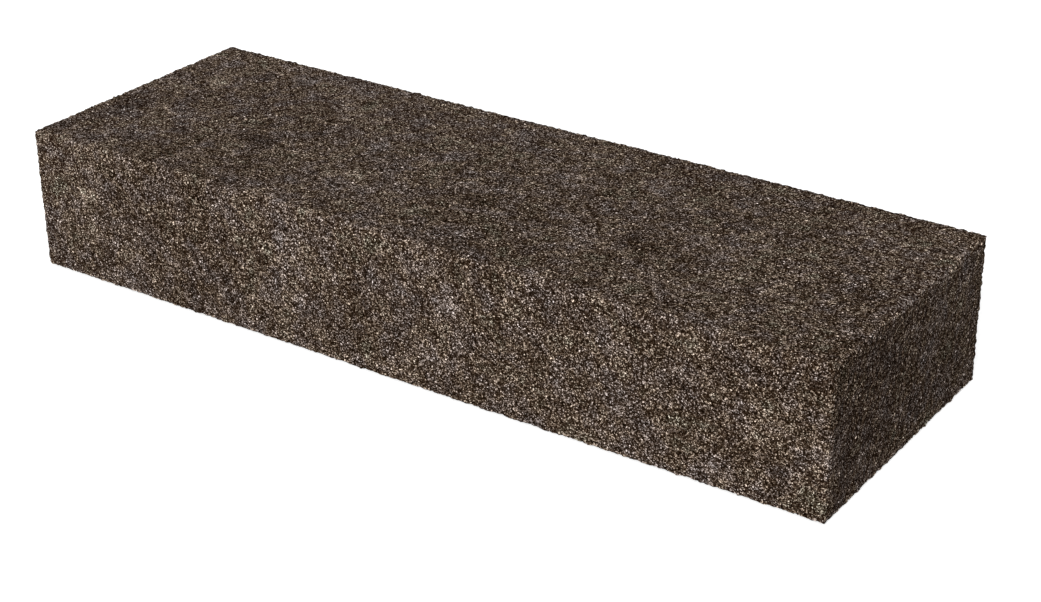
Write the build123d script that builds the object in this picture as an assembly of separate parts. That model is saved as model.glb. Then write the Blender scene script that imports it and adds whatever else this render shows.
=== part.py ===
from build123d import *
import os

# Coarse sharpening whetstone: one rectangular block of abrasive grains, pressed in a mould
# and fired as a single piece. Nothing is fixed to it and nothing is inside it.
# The stone lies flat as it does on a bench. The origin is the middle of its underside,
# +X runs along its length, +Y across it, and +Z is up, out of the face that a blade is worked on.

# driving dimensions, mm
LENGTH = 150.0  # the six inch size in metric
WIDTH = 50.0  # two inches, wide enough for a whole chisel or plane iron
THICKNESS = 25.0  # one inch
ARRIS_RADIUS = 0.3  # the corners are rubbed down so that they don't crumble or cut the hand


def abrasive_block():
    """The whole stone, standing on z = 0, with every arris and corner eased by the same radius.

    The faces lie on the tips of the outermost grains, which is where a straightedge touches.
    """
    block = Pos(0, 0, THICKNESS / 2) * Box(LENGTH, WIDTH, THICKNESS)
    return fillet(block.edges(), ARRIS_RADIUS)


os.makedirs("parts", exist_ok=True)
stone = abrasive_block()
size = stone.bounding_box().size
print(f"abrasive_block: {size.X:.2f} x {size.Y:.2f} x {size.Z:.2f} mm, {stone.volume / 1000:.2f} cm3")
export_step(stone, "parts/abrasive_block.step")
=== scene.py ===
# %% [markdown]
# # A coarse bench whetstone
# The real object is one block of abrasive grains, pressed in a steel mould and fired until a
# glassy bond holds the grains together. It has no other pieces, so the whole lesson is about one
# surface: how to give a plain block the broken, granular skin that makes it read as a whetstone.
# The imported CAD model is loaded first. Its box stays the frame that everything is measured from.

# %% Load the frame
import math

import bpy
from mathutils import Matrix, Vector


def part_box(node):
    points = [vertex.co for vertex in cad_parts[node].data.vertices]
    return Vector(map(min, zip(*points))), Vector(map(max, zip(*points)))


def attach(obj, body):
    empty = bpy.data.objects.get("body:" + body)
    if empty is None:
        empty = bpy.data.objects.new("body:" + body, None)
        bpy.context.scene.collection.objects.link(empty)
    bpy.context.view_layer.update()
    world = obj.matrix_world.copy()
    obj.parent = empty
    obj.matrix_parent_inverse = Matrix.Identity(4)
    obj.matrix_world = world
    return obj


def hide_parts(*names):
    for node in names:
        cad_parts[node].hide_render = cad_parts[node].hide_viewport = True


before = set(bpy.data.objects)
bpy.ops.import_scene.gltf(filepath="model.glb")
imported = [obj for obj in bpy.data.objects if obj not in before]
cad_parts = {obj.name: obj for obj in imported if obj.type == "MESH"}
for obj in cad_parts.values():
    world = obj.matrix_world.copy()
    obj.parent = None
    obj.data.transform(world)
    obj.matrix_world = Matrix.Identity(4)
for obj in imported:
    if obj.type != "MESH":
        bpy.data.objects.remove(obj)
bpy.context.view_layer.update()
stone_low, stone_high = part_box("abrasive_block")
stone_size = stone_high - stone_low
stone_centre = (stone_low + stone_high) / 2
MM = 0.001
print("stone, mm:", [round(side / MM, 2) for side in stone_size])

# %% [markdown]
# ## Camera
# The block is seen from in front, to the right and above, from little more than twice its own
# length away, so its far end looks clearly smaller than its near end. The camera could be placed
# by coordinates, but angles round the block say more: they can be read, and used again for the
# next stone. A small slide sideways sets the framing, so the lens needs no shift.

# %% Directions of a camera
CAMERA_AZIMUTH = 34.802
CAMERA_ELEVATION = 26.772
CAMERA_ROLL = -0.531


def camera_axes(azimuth, elevation, roll):
    """The directions that a camera calls right, up and back, for angles in degrees."""
    a, e = math.radians(azimuth), math.radians(elevation)
    back = Vector((math.sin(a) * math.cos(e), -math.cos(a) * math.cos(e), math.sin(e)))
    right = Vector((0, 0, 1)).cross(back).normalized()
    right = Matrix.Rotation(math.radians(roll), 3, back) @ right
    return right, back.cross(right), back


right, up, back = camera_axes(CAMERA_AZIMUTH, CAMERA_ELEVATION, CAMERA_ROLL)
print("camera looks along:", [round(-c, 3) for c in back])

# %% Camera
CAMERA_DISTANCE = 342.7 * MM
CAMERA_SLIDE = Vector((5.93, -8.21)) * MM
LENS = 73.55
SENSOR = 36.0
NEAREST = 10 * MM
FARTHEST = 20.0

bpy.ops.object.select_all(action="DESELECT")
place = stone_centre + back * CAMERA_DISTANCE + right * CAMERA_SLIDE.x + up * CAMERA_SLIDE.y
turned = Matrix((right, up, back)).transposed().to_euler()
bpy.ops.object.camera_add(location=place, rotation=turned)
camera = bpy.context.object
camera.name = "camera"
camera.data.sensor_width = SENSOR
camera.data.lens = LENS
camera.data.clip_start = NEAREST
camera.data.clip_end = FARTHEST
bpy.context.scene.camera = camera
print("camera stands at, mm:", [round(c / MM, 1) for c in place])

# %% [markdown]
# ## The pressed block
# A stone leaves its mould as a sharp rectangular block, and its arrises, the long corners, are
# rubbed down at once so that they don't crumble or cut the hand. A cube primitive at the stone's
# size, bevelled all round, is that block. It starts a hair smaller than the CAD block, so that
# nothing done to its skin afterwards can stand outside it.

# %% The block with its rubbed arrises
SKIN = 0.050 * MM
ARRIS = 0.25 * MM
ARRIS_STEPS = 4
ROUND = 0.5

bpy.ops.object.select_all(action="DESELECT")
bpy.ops.mesh.primitive_cube_add(
    size=1, location=stone_centre, scale=[side - 2 * SKIN for side in stone_size])
stone = bpy.context.object
stone.name = "stone"
bpy.ops.object.transform_apply(location=True, rotation=True, scale=True)
bpy.ops.object.mode_set(mode="EDIT")
bpy.ops.mesh.select_all(action="SELECT")
bpy.ops.mesh.bevel(offset=ARRIS, segments=ARRIS_STEPS, profile=ROUND, affect="EDGES")
bpy.ops.object.mode_set(mode="OBJECT")
print("faces of the plain block:", len(stone.data.polygons))

# %% [markdown]
# ## A skin of small facets
# Seen against the light, a coarse stone has no straight outline: every grain along an arris shows.
# A bump in the material can't do that, because it never moves the outline, so the mesh itself
# needs facets about as small as the grains. Subdividing the bevelled cube would leave long thin
# slivers along its arrises. A voxel remesh lays the same square facet over flats and arrises.

# %% Even facets by voxel remesh
FACET = 0.25 * MM


def apply(piece, kind, **settings):
    """Add one modifier with these settings and apply it."""
    modifier = piece.modifiers.new(kind.lower(), kind)
    for name, value in settings.items():
        setattr(modifier, name, value)
    bpy.context.view_layer.objects.active = piece
    bpy.ops.object.modifier_apply(modifier=modifier.name)


apply(stone, "REMESH", mode="VOXEL", voxel_size=FACET)
print("facets:", len(stone.data.polygons))

# %% [markdown]
# ## Marking the arrises
# The flats of a stone stay fairly even, while its arrises lose grains with every knock. The same
# relief can't serve both, so the arrises go into a vertex group that later steps can name. A point
# belongs to an arris when it is close to two faces of the block at once, which is easy to ask of
# each point. The weights are then smoothed, so that the damage fades out into the flats.

# %% The group of arris points
ARRIS_BAND = 0.9 * MM


def near_an_arris(point):
    """True within the band round an arris, where a point is close to two faces of the block."""
    depths = sorted(side / 2 - abs(c - middle)
                    for side, c, middle in zip(stone_size, point, stone_centre))
    return depths[1] < ARRIS_BAND


for polygon in stone.data.polygons:
    polygon.select = False
for vertex in stone.data.vertices:
    vertex.select = near_an_arris(vertex.co)
print("points along the arrises:", sum(vertex.select for vertex in stone.data.vertices))

# %% Weights that fade into the flats
FADE = 0.5
FADE_ROUNDS = 2

stone.vertex_groups.new(name="arrises")
bpy.ops.object.mode_set(mode="EDIT")
bpy.context.tool_settings.vertex_group_weight = 1.0
bpy.ops.object.vertex_group_assign()
bpy.ops.object.vertex_group_smooth(group_select_mode="ACTIVE", factor=FADE, repeat=FADE_ROUNDS)
bpy.ops.object.mode_set(mode="OBJECT")
print("groups:", [group.name for group in stone.vertex_groups])

# %% [markdown]
# ## Relief of the grains
# The outermost grains of a pressed stone all touch the flat mould wall, and the bond between them
# lies lower. Displacing the facets by a Voronoi texture gives that: its cells are the grains. The
# displacement only ever goes inwards from the mould wall, so the block can't outgrow its box.
# Real grains of a coarse stone are 0.1 to 0.2 mm across, which is finer than a facet, so the cells
# are drawn at 0.45 mm, as coarse as they need to be to show in an outline.

# %% Grain tops over the whole block
GRAIN_TOP = 0.45 * MM
GRAIN_TOP_DEPTH = 0.12 * MM
INWARDS = {"texture_coords": "LOCAL", "direction": "NORMAL"}


def relief(name, kind, size, **settings):
    """A texture whose pattern has cells or lumps of this size."""
    texture = bpy.data.textures.new(name, kind)
    texture.noise_scale = size
    for key, value in settings.items():
        setattr(texture, key, value)
    return texture


grain_tops = relief("grain_tops", "VORONOI", GRAIN_TOP, color_mode="POSITION")
apply(stone, "DISPLACE", texture=grain_tops, mid_level=1.0, strength=GRAIN_TOP_DEPTH, **INWARDS)
print("grain tops, deepest mm:", GRAIN_TOP_DEPTH / MM)

# %% [markdown]
# ## Grains lost along the arrises
# An arris is where a stone is held, knocked and dragged, so single grains are missing there, and
# here and there a few have come away together as a small chip. Both could be cut by hand, but
# hundreds of them are wanted, all different. Two more displacements, limited to the group of
# arris points, do it: cells for the single grains, and soft clouds pushed to high contrast for the
# chips, so that most of the arris is left alone and a few places lose a little more.

# %% Single grains lost
LOST_GRAIN = 0.38 * MM
LOST_GRAIN_DEPTH = 0.14 * MM
LOST_GRAIN_CONTRAST = 1.5

lost_grains = relief("lost_grains", "VORONOI", LOST_GRAIN, color_mode="POSITION",
                     contrast=LOST_GRAIN_CONTRAST)
apply(stone, "DISPLACE", texture=lost_grains, mid_level=1.0, strength=LOST_GRAIN_DEPTH,
      vertex_group="arrises", **INWARDS)
print("lost grains, deepest mm:", LOST_GRAIN_DEPTH / MM)

# %% Small chips
CHIP = 0.9 * MM
CHIP_DEPTH = 0.10 * MM
CHIP_CONTRAST = 4.0
CHIP_DETAIL = 2

chips = relief("chips", "CLOUDS", CHIP, contrast=CHIP_CONTRAST, noise_depth=CHIP_DETAIL)
apply(stone, "DISPLACE", texture=chips, mid_level=0.0, strength=-CHIP_DEPTH,
      vertex_group="arrises", **INWARDS)
print("chips, deepest mm:", CHIP_DEPTH / MM)

# %% [markdown]
# ## Fewer facets on the flats
# The remesh has made more facets than the model should carry. The outline needs them along the
# arrises and hardly anywhere else, so Decimate thins the flats and spares the group of arris
# points. On the flats the material carries the fine detail.

# %% Thin the mesh
TRIANGLES = 190000

stone.data.calc_loop_triangles()
print("triangles before:", len(stone.data.loop_triangles))
apply(stone, "DECIMATE", ratio=TRIANGLES / len(stone.data.loop_triangles),
      vertex_group="arrises", invert_vertex_group=True, vertex_group_factor=1.0)
stone.data.calc_loop_triangles()
print("triangles after:", len(stone.data.loop_triangles))

# %% [markdown]
# ## Tools for the material
# Colours are written as the sRGB hex values that a maker would pick from a swatch, and a shader
# wants linear values, so one function turns the one into the other. A second adds a node with its
# settings and its links, whatever kind of node it is, and a third sets the stops of a colour ramp.

# %% Colour and node helpers


def linear(hex_colour):
    """An sRGB colour such as "#7d6c5e" as the linear values that a shader takes."""
    parts = [int(hex_colour[i:i + 2], 16) / 255 for i in (1, 3, 5)]
    return [c / 12.92 if c <= 0.04045 else ((c + 0.055) / 1.055) ** 2.4 for c in parts] + [1.0]


def add(tree, kind, settings=None, inputs=None):
    """Add one node to a tree, with its settings, and each input's value or the socket it is fed by."""
    node = tree.nodes.new(kind)
    for name, value in (settings or {}).items():
        setattr(node, name, value)
    for key, value in (inputs or {}).items():
        if isinstance(value, bpy.types.NodeSocket):
            tree.links.new(value, node.inputs[key])
        else:
            node.inputs[key].default_value = value
    return node


def stops(node, colours):
    """Give a colour ramp its stops: {place: sRGB hex}."""
    ramp = node.color_ramp
    while len(ramp.elements) > 1:
        ramp.elements.remove(ramp.elements[-1])
    for i, (place, colour) in enumerate(colours.items()):
        stop = ramp.elements[0] if i == 0 else ramp.elements.new(place)
        stop.position = place
        stop.color = linear(colour)
    return node


print("mid brown of the bond, linear:", [round(c, 4) for c in linear("#3a2f26")[:3]])

# %% [markdown]
# ## Vitrified coarse abrasive
# The stone is brown fused alumina in a glassy clay bond, fired and left as it came from the mould.
# To the eye that is a dry, matt, dark brown mass of broken grains. Each grain catches the light
# its own way, black pits lie between them, and a few faces flash pale. Here the shade in the pits
# and the flashes of the pale faces are painted into the colour.
# The finish could be an image wrapped round the block, but that repeats and goes soft close up.
# Here it is built from causes instead: a grain's own brightness, painted shade in the pits, clumps,
# painted glints on bright faces, slurry, oil, worn arrises. Each one raises or lowers a single
# number, the tone, and one colour ramp then turns tone into colour. The ramp's stops grow from one
# to the next by two to four times in light, so equal steps of tone give many dark grains and a few
# very bright ones.

# %% A new material on object coordinates
abrasive = bpy.data.materials.new("vitrified_coarse_abrasive")
abrasive.use_nodes = True
tree = abrasive.node_tree
shader = tree.nodes["Principled BSDF"]
at = add(tree, "ShaderNodeTexCoord").outputs["Object"]
print("material:", abrasive.name)

# %% [markdown]
# ### Grains
# A 120 grit stone has grains about 0.12 mm across. At that size they would melt into one flat
# brown at arm's length, so they are drawn at 0.17 mm, as coarse as they need to be to show.
# A Voronoi texture gives each grain a cell and a random value. Its cells alone look too tidy,
# like beads, and crushed grit is anything but tidy, so the coordinates are stirred first by a
# noise with half a millimetre between its swirls, by up to a grain's own width, which pulls
# the cells into crooked splinters. The random value is raised to a power, so that dim grains
# outnumber bright ones.

# %% Crooked grains, each with its own brightness
GRAIN = 0.17 * MM
STIR = 0.30 * MM
STIR_SPACING = 0.5 * MM
GRAIN_SKEW = 1.6

stir = add(tree, "ShaderNodeTexNoise", {}, {"Vector": at, "Scale": 1 / STIR_SPACING, "Detail": 0.0})
crooked = add(tree, "ShaderNodeVectorMath", {"operation": "MULTIPLY_ADD"},
              {0: stir.outputs["Color"], 1: (STIR, STIR, STIR), 2: at}).outputs[0]
grains = add(tree, "ShaderNodeTexVoronoi", {"feature": "F1"}, {"Vector": crooked, "Scale": 1 / GRAIN})
lot = add(tree, "ShaderNodeSeparateColor", inputs={0: grains.outputs["Color"]})
own = add(tree, "ShaderNodeMath", {"operation": "POWER"}, {0: lot.outputs[0], 1: GRAIN_SKEW})
print("grains across the stone:", round(stone_size.y / GRAIN))

# %% Tone from the grains and the painted shade in the pits between them
GRAIN_RANGE = 0.60
PAINTED_PIT_SHADE = 0.45
MIDDLE_TONE = 0.155

tone = add(tree, "ShaderNodeMath", {"operation": "MULTIPLY_ADD"},
           {0: own.outputs[0], 1: GRAIN_RANGE, 2: MIDDLE_TONE}).outputs[0]
# Painted shade: the tone falls with the distance from a grain's middle, so the pits between the grains are
# darkened as if they were in shadow.
tone = add(tree, "ShaderNodeMath", {"operation": "MULTIPLY_ADD"},
           {0: grains.outputs["Distance"], 1: -PAINTED_PIT_SHADE, 2: tone}).outputs[0]
print("tone range of the grains:", GRAIN_RANGE, "pits lower it by:", PAINTED_PIT_SHADE)

# %% [markdown]
# ### Clumps and mottling
# Grit and clay are mixed damp and never quite evenly. Grains gather in clumps of a millimetre or
# two, and the press packs some places tighter than others, which shows as a slow mottling some
# 14 mm across. Both are fractal, with as much strength in their small detail as in their large,
# so their roughness is set high.

# %% Clumps and slow mottling
CLUMP = 1.6 * MM
CLUMP_RANGE = 0.34
CLUMP_DETAIL = 2.0
MOTTLE = 14 * MM
MOTTLE_RANGE = 0.27
MOTTLE_DETAIL = 3.0
FRACTAL = 1.0

clumps = add(tree, "ShaderNodeTexNoise", {},
             {"Vector": at, "Scale": 1 / CLUMP, "Detail": CLUMP_DETAIL, "Roughness": FRACTAL}).outputs[0]
mottle = add(tree, "ShaderNodeTexNoise", {},
             {"Vector": at, "Scale": 1 / MOTTLE, "Detail": MOTTLE_DETAIL, "Roughness": FRACTAL}).outputs[0]
tone = add(tree, "ShaderNodeMath", {"operation": "MULTIPLY_ADD"},
           {0: clumps, 1: CLUMP_RANGE, 2: tone}).outputs[0]
tone = add(tree, "ShaderNodeMath", {"operation": "MULTIPLY_ADD"},
           {0: mottle, 1: MOTTLE_RANGE, 2: tone}).outputs[0]
print("clumps across the stone:", round(stone_size.y / CLUMP))

# %% [markdown]
# ### Bright faces, painted glints
# A crushed grain has flat faces, and the few that are turned the right way flash almost white.
# The flashes are painted into the colour as glints: a second set of cells, of which only a few in
# a hundred are chosen. Each chosen one is bright at its middle and fades before it reaches its
# neighbours.

# %% A few painted glints on bright faces
PAINTED_GLINT_CELL = 0.34 * MM
PAINTED_GLINT_SHARE = 0.02
PAINTED_GLINT_RISE = 0.90
PAINTED_GLINT_CORE = 0.25
PAINTED_GLINT_RIM = 0.45

faces = add(tree, "ShaderNodeTexVoronoi", {"feature": "F1"},
            {"Vector": crooked, "Scale": 1 / PAINTED_GLINT_CELL})
turn = add(tree, "ShaderNodeSeparateColor", inputs={0: faces.outputs["Color"]})
chosen = add(tree, "ShaderNodeMath", {"operation": "GREATER_THAN"},
             {0: turn.outputs[1], 1: 1 - PAINTED_GLINT_SHARE})
# Painted glint: each chosen cell is made bright at its middle, a highlight painted into the colour.
painted_glint = add(tree, "ShaderNodeMapRange",
            inputs={0: faces.outputs["Distance"], 1: PAINTED_GLINT_CORE, 2: PAINTED_GLINT_RIM, 3: PAINTED_GLINT_RISE, 4: 0.0})
tone = add(tree, "ShaderNodeMath", {"operation": "MULTIPLY_ADD"},
           {0: painted_glint.outputs[0], 1: chosen.outputs[0], 2: tone}).outputs[0]
print("bright faces to a square centimetre:", round(PAINTED_GLINT_SHARE * (10 * MM / PAINTED_GLINT_CELL) ** 2))

# %% [markdown]
# ### Slurry and oil
# A used stone shows where it has been worked. Slurry dries in the pores as soft pale patches a few
# millimetres across, and oil soaks in as dark ones, both longer along the stone, the way it is
# rubbed. Noise would scatter them anywhere, so they are placed one by one, and their edges are left
# to the clumps to break up. A patch is the distance from its middle, turned into a soft blob.

# %% Soft patches at chosen places
PATCH_SQUASH = 1.8
PATCH_CORE = 0.25


def patches(places, reach):
    """How deep in one of these patches a point is: 1 near its middle, and 0 from its reach on."""
    deep = 0.0
    for patch in places:
        away = add(tree, "ShaderNodeVectorMath", {"operation": "SUBTRACT"},
                   {0: at, 1: Vector(patch) * MM})
        away = add(tree, "ShaderNodeVectorMath", {"operation": "MULTIPLY"},
                   {0: away.outputs[0], 1: (1.0, PATCH_SQUASH, PATCH_SQUASH)})
        span = add(tree, "ShaderNodeVectorMath", {"operation": "LENGTH"}, {0: away.outputs[0]})
        blob = add(tree, "ShaderNodeMapRange", {"interpolation_type": "SMOOTHSTEP"},
                   {0: span.outputs["Value"], 1: PATCH_CORE * reach, 2: reach, 3: 1.0, 4: 0.0})
        deep = add(tree, "ShaderNodeMath", {"operation": "MAXIMUM"},
                   {0: blob.outputs[0], 1: deep}).outputs[0]
    return deep


print("a patch is longer than wide by:", PATCH_SQUASH)

# %% Pale slurry and dark oil
SLURRY = [(-18, -10, 25), (57, -10, 25), (-64, 9, 25), (12, 9, 25), (-63, -25, 16), (12, -25, 16)]
SLURRY_REACH = 3.2 * MM
SLURRY_RISE = 0.12
OIL = [(-70, -6, 25), (-41, -7, 25), (4, -7, 25), (34, -7, 25)]
OIL_REACH = 6.5 * MM
OIL_FALL = 0.09

tone = add(tree, "ShaderNodeMath", {"operation": "MULTIPLY_ADD"},
           {0: patches(SLURRY, SLURRY_REACH), 1: SLURRY_RISE, 2: tone}).outputs[0]
tone = add(tree, "ShaderNodeMath", {"operation": "MULTIPLY_ADD"},
           {0: patches(OIL, OIL_REACH), 1: -OIL_FALL, 2: tone}).outputs[0]
print("patches of slurry and of oil:", len(SLURRY), len(OIL))

# %% [markdown]
# ### Worn arrises
# Grains along the arrises are broken fresh and rubbed clean of slurry and oil, so an arris is a
# little paler than the flats beside it. The wear needs the same question as the vertex group did,
# how close a point is to two faces at once, asked this time in nodes: of the three depths below
# the faces, the middle one. The clumps make the wear uneven.

# %% Depth below the second nearest face
inside = add(tree, "ShaderNodeVectorMath", {"operation": "SUBTRACT"}, {0: at, 1: stone_centre})
inside = add(tree, "ShaderNodeVectorMath", {"operation": "ABSOLUTE"}, {0: inside.outputs[0]})
inside = add(tree, "ShaderNodeVectorMath", {"operation": "SUBTRACT"},
             {0: stone_size / 2, 1: inside.outputs[0]})
depth = add(tree, "ShaderNodeSeparateXYZ", inputs={0: inside.outputs[0]}).outputs
nearer = add(tree, "ShaderNodeMath", {"operation": "MINIMUM"}, {0: depth[0], 1: depth[1]})
farther = add(tree, "ShaderNodeMath", {"operation": "MAXIMUM"}, {0: depth[0], 1: depth[1]})
farther = add(tree, "ShaderNodeMath", {"operation": "MINIMUM"}, {0: farther.outputs[0], 1: depth[2]})
second = add(tree, "ShaderNodeMath", {"operation": "MAXIMUM"},
             {0: nearer.outputs[0], 1: farther.outputs[0]}).outputs[0]
print("nodes so far:", len(tree.nodes))

# %% Wear that raises the tone
WEAR_WIDTH = 1.1 * MM
WEAR_RISE = 0.14

wear = add(tree, "ShaderNodeMapRange", inputs={0: second, 1: 0.0, 2: WEAR_WIDTH, 3: WEAR_RISE, 4: 0.0})
tone = add(tree, "ShaderNodeMath", {"operation": "MULTIPLY_ADD"},
           {0: wear.outputs[0], 1: clumps, 2: tone}).outputs[0]
print("wear reaches in, mm:", WEAR_WIDTH / MM)

# %% [markdown]
# ### Tone to colour
# The ramp runs from the black of the painted shade in a pit, through the dark brown of the bond and
# the grey brown of the grains, to the cream of a painted glint on a bright face. Red stays a little
# above and blue a little below at every step, by much the same amount, so dark grains look browner
# than bright ones.
# Over it goes a slow, faint shift of hue, from slate through rose and straw to olive: iron in the
# clay that the kiln has burnt a little differently from place to place.

# %% Colour of grains and bond
body = stops(add(tree, "ShaderNodeValToRGB", inputs={0: tone}), {
    0.00: "#080402",
    0.17: "#110a05",
    0.33: "#22170e",
    0.50: "#3a2f26",
    0.67: "#695e55",
    0.83: "#b4a9a0",
    1.00: "#fdf2e9"})
print("stops of the body colour:", len(body.color_ramp.elements))

# %% Shift of hue from the kiln
HUE_PATCH = 6 * MM
HUE_DETAIL = 2.0
HUE_FRACTAL = 0.9

kiln = add(tree, "ShaderNodeTexNoise", {},
           {"Vector": at, "Scale": 1 / HUE_PATCH, "Detail": HUE_DETAIL, "Roughness": HUE_FRACTAL})
hue = stops(add(tree, "ShaderNodeValToRGB", inputs={0: kiln.outputs[0]}), {
    0.32: "#f5f4fb",
    0.40: "#faf5f6",
    0.47: "#fdf6f3",
    0.55: "#fff4e6",
    0.62: "#fff9ee",
    0.70: "#f8fbee"})
burnt = add(tree, "ShaderNodeMix", {"data_type": "RGBA", "blend_type": "MULTIPLY"},
            {0: 1.0, 6: body.outputs[0], 7: hue.outputs[0]})
tree.links.new(burnt.outputs[2], shader.inputs["Base Color"])
print("hue patches along the stone:", round(stone_size.x / HUE_PATCH))

# %% [markdown]
# ### Gloss and bump
# The glassy bond has the usual index of refraction, but grains that shade one another leave no
# sheen at a low angle, and a surface shader draws one there unless its specular level is taken
# down to nothing. What gloss the stone shows is painted into its colour, as the glints of the
# bright faces above.
# Roughness goes with the clumps, higher where the skin is open. The bump is made from the clumps
# too: single grains are too fine for it, and the mesh already has its own relief.

# %% Gloss and bump
IOR = 1.5
SPECULAR = 0.0
ROUGH_PACKED = 0.65
ROUGH_OPEN = 0.85
OPEN = 0.3
PACKED = 0.7
BUMP_HEIGHT = 0.8 * MM

rough = add(tree, "ShaderNodeMapRange",
            inputs={0: clumps, 1: OPEN, 2: PACKED, 3: ROUGH_OPEN, 4: ROUGH_PACKED})
tree.links.new(rough.outputs[0], shader.inputs["Roughness"])
shader.inputs["IOR"].default_value = IOR
shader.inputs["Specular IOR Level"].default_value = SPECULAR
bump = add(tree, "ShaderNodeBump", inputs={"Strength": 1.0, "Distance": BUMP_HEIGHT, "Height": clumps})
tree.links.new(bump.outputs[0], shader.inputs["Normal"])
print("nodes in the material:", len(tree.nodes))

# %% [markdown]
# ## The stone in the frame
# The detailed block stands for the CAD block, rides on the object's one body, and wears the coarse
# abrasive material.

# %% Stone in place
stone.data.materials.clear()
stone.data.materials.append(abrasive)
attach(stone, "root")
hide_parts("abrasive_block")
print("stone box, mm:", [round(side / MM, 3) for side in stone.dimensions])

# %% [markdown]
# ## Floor
# A product shot of a dark stone wants a floor so pale that it all but vanishes. White paint that
# also glows a little keeps it white even where the block takes the light from it. Hidden from
# diffuse rays, that glow doesn't light the stone from below and wash out its sides.

# %% Pale floor
FLOOR_SIZE = 4.0
FLOOR_PAINT = "#f3f3f3"
FLOOR_ROUGHNESS = 0.9
FLOOR_GLOW = 0.4

bpy.ops.object.select_all(action="DESELECT")
bpy.ops.mesh.primitive_plane_add(size=FLOOR_SIZE, location=(0, 0, 0))
floor = bpy.context.object
floor.name = "floor"
floor.visible_diffuse = False
paint = bpy.data.materials.new("matt_white_paint")
paint.use_nodes = True
coat = paint.node_tree.nodes["Principled BSDF"]
coat.inputs["Base Color"].default_value = linear(FLOOR_PAINT)
coat.inputs["Roughness"].default_value = FLOOR_ROUGHNESS
coat.inputs["Emission Color"].default_value = linear("#ffffff")
coat.inputs["Emission Strength"].default_value = FLOOR_GLOW
floor.data.materials.append(paint)
print("floor, m:", FLOOR_SIZE)

# %% [markdown]
# ## Light
# A studio's ceiling and walls light the block softly from above, and very little comes up from
# below the level of the table. One large soft lamp, low and nearly in front, makes the long side
# the brightest face, the top a little darker and the right end the darkest. Those three steps of
# light are what make the block look solid, since its grain is the same all over.
# The room could be built from area lamps, but a world with one brightness above the horizon and
# another below it is simpler, and the same from every side.

# %% Soft room
SKY = 0.50
BELOW = 0.05
HORIZON_BLUR = 0.05

world = bpy.data.worlds.new("soft_room")
bpy.context.scene.world = world
world.use_nodes = True
room = world.node_tree
towards = add(room, "ShaderNodeTexCoord")
height = add(room, "ShaderNodeSeparateXYZ", inputs={0: towards.outputs["Generated"]})
level = add(room, "ShaderNodeMapRange",
            inputs={0: height.outputs[2], 1: -HORIZON_BLUR, 2: HORIZON_BLUR, 3: BELOW, 4: SKY})
room.nodes["Background"].inputs["Color"].default_value = linear("#ffffff")
room.links.new(level.outputs[0], room.nodes["Background"].inputs["Strength"])
print("room, above and below:", SKY, BELOW)

# %% Key lamp
KEY_AZIMUTH = 17.4
KEY_ELEVATION = 24
KEY_ENERGY = 3.63
KEY_SPREAD = 30

_, _, key_from = camera_axes(KEY_AZIMUTH, KEY_ELEVATION, 0)
bpy.ops.object.light_add(type="SUN", rotation=key_from.to_track_quat("Z", "Y").to_euler())
key = bpy.context.object
key.name = "key"
key.data.energy = KEY_ENERGY
key.data.angle = math.radians(KEY_SPREAD)
bpy.context.scene.view_settings.view_transform = "Standard"
print("key lamp shines along:", [round(-c, 2) for c in key_from])

# %% [markdown]
# ## Fill lamp
# With one lamp the back and the left end stand in shade, and their grain can hardly be made out
# when the stone is turned round. A weak second lamp, low behind the left corner, opens them up.
# It is out of reach of the front and the right end, and too low to change the top much.

# %% Fill lamp
FILL_AZIMUTH = 225
FILL_ELEVATION = 8
FILL_ENERGY = 0.7
FILL_SPREAD = 20

_, _, fill_from = camera_axes(FILL_AZIMUTH, FILL_ELEVATION, 0)
bpy.ops.object.light_add(type="SUN", rotation=fill_from.to_track_quat("Z", "Y").to_euler())
fill = bpy.context.object
fill.name = "fill"
fill.data.energy = FILL_ENERGY
fill.data.angle = math.radians(FILL_SPREAD)
print("fill lamp shines along:", [round(-c, 2) for c in fill_from])
